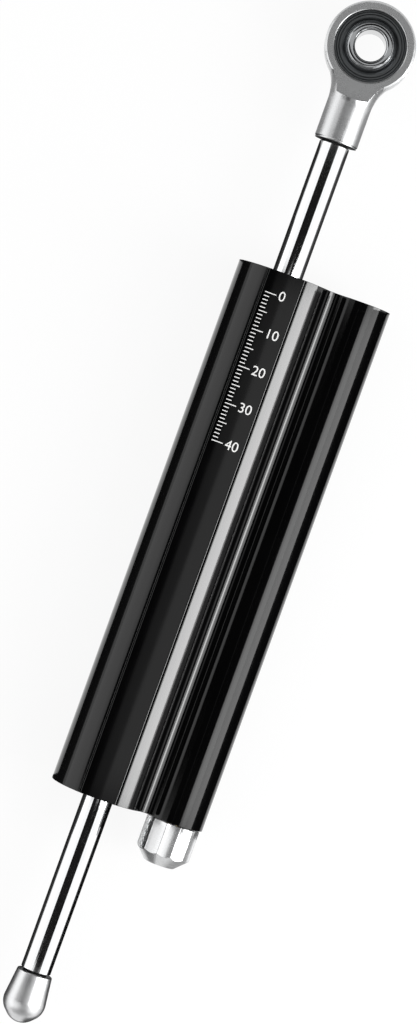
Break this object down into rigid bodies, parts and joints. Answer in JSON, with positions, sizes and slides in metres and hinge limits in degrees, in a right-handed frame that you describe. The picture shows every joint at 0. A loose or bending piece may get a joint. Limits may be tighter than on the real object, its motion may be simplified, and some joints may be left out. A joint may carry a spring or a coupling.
{
  "type": "motorcycle steering damper",
  "caption": "Linear steering damper: black twin-tube body, chrome through-rod with a spherical rod end and a nose cap, and a fluted click adjuster knob on the side tube.",
  "frame": {"origin": "on the barrel's axis, at the middle of the body's length", "axes": "+Y along the rod towards the eye, +X towards the side tube, +Z out of the front pad, along the eye's bore"},
  "size_m": [0.0412, 0.2789, 0.0248],
  "materials": {
    "black_anodised": "gloss black anodised extrusion",
    "gland_metal": "turned, dark anodised",
    "silver_metal": "turned and polished, clear anodised",
    "chrome_rod": "hard chrome, ground and polished",
    "plated_steel": "zinc plated, satin",
    "dark_race": "black oxide, turned",
    "bearing_steel": "ground and polished",
    "spring_steel": "drawn, oiled",
    "bronze": "sintered",
    "brass": "turned",
    "rubber": "matt",
    "seal_plastic": "satin",
    "band_plastic": "satin"
  },
  "bodies": {
    "housing": {"housing": "black_anodised", "top_gland": "gland_metal", "bottom_gland": "gland_metal", "top_gland_circlip": "spring_steel", "bottom_gland_circlip": "spring_steel", "top_guide_bush": "bronze", "bottom_guide_bush": "bronze", "top_rod_seal": "seal_plastic", "bottom_rod_seal": "seal_plastic", "top_wiper": "rubber", "bottom_wiper": "rubber", "top_gland_oring": "rubber", "bottom_gland_oring": "rubber", "reservoir_plug": "gland_metal", "plug_oring": "rubber", "plug_circlip": "spring_steel", "compensator_spring": "spring_steel", "adjuster_cartridge": "gland_metal", "cartridge_oring": "rubber", "shaft_oring": "rubber", "stop_pin": "bearing_steel", "detent_ball": "bearing_steel", "detent_spring": "spring_steel"},
    "compensator": {"floating_piston": "silver_metal", "floating_piston_oring": "rubber"},
    "piston_ring": {"piston_band": "band_plastic"},
    "rod": {"piston_rod": "chrome_rod", "piston": "silver_metal", "top_shims": "spring_steel", "bottom_shims": "spring_steel", "top_piston_washer": "plated_steel", "bottom_piston_washer": "plated_steel", "top_snap_ring": "spring_steel", "bottom_snap_ring": "spring_steel", "rod_end": "plated_steel", "bearing_race": "dark_race", "end_cap": "silver_metal"},
    "ball": {"bearing_ball": "bearing_steel"},
    "adjuster": {"knob": "silver_metal", "knob_screw": "spring_steel", "metering_drum": "brass"}
  },
  "joints": [
    {"name": "rod_slide", "type": "slide", "parent": "housing", "child": "piston_ring", "axis": [0, 1, 0], "range_m": [-0.03115, 0.04375]},
    {"name": "rod_spin", "type": "hinge", "parent": "piston_ring", "child": "rod", "pos_m": [0, 0, 0], "axis": [0, 1, 0], "continuous": true},
    {"name": "ball_spin", "type": "hinge", "parent": "rod", "child": "ball", "pos_m": [0, 0.1335, 0], "axis": [0, 0, 1], "continuous": true},
    {"name": "knob_turn", "type": "hinge", "parent": "housing", "child": "adjuster", "pos_m": [0.0205, -0.071, 0], "axis": [0, 1, 0], "range_deg": [-150, 150]},
    {"name": "compensator_slide", "type": "slide", "parent": "housing", "child": "compensator", "axis": [0, 1, 0], "range_m": [0, 0.004], "stiffness_N_per_m": 600, "springref_m": -0.004, "deforming": ["compensator_spring"]}
  ]
}
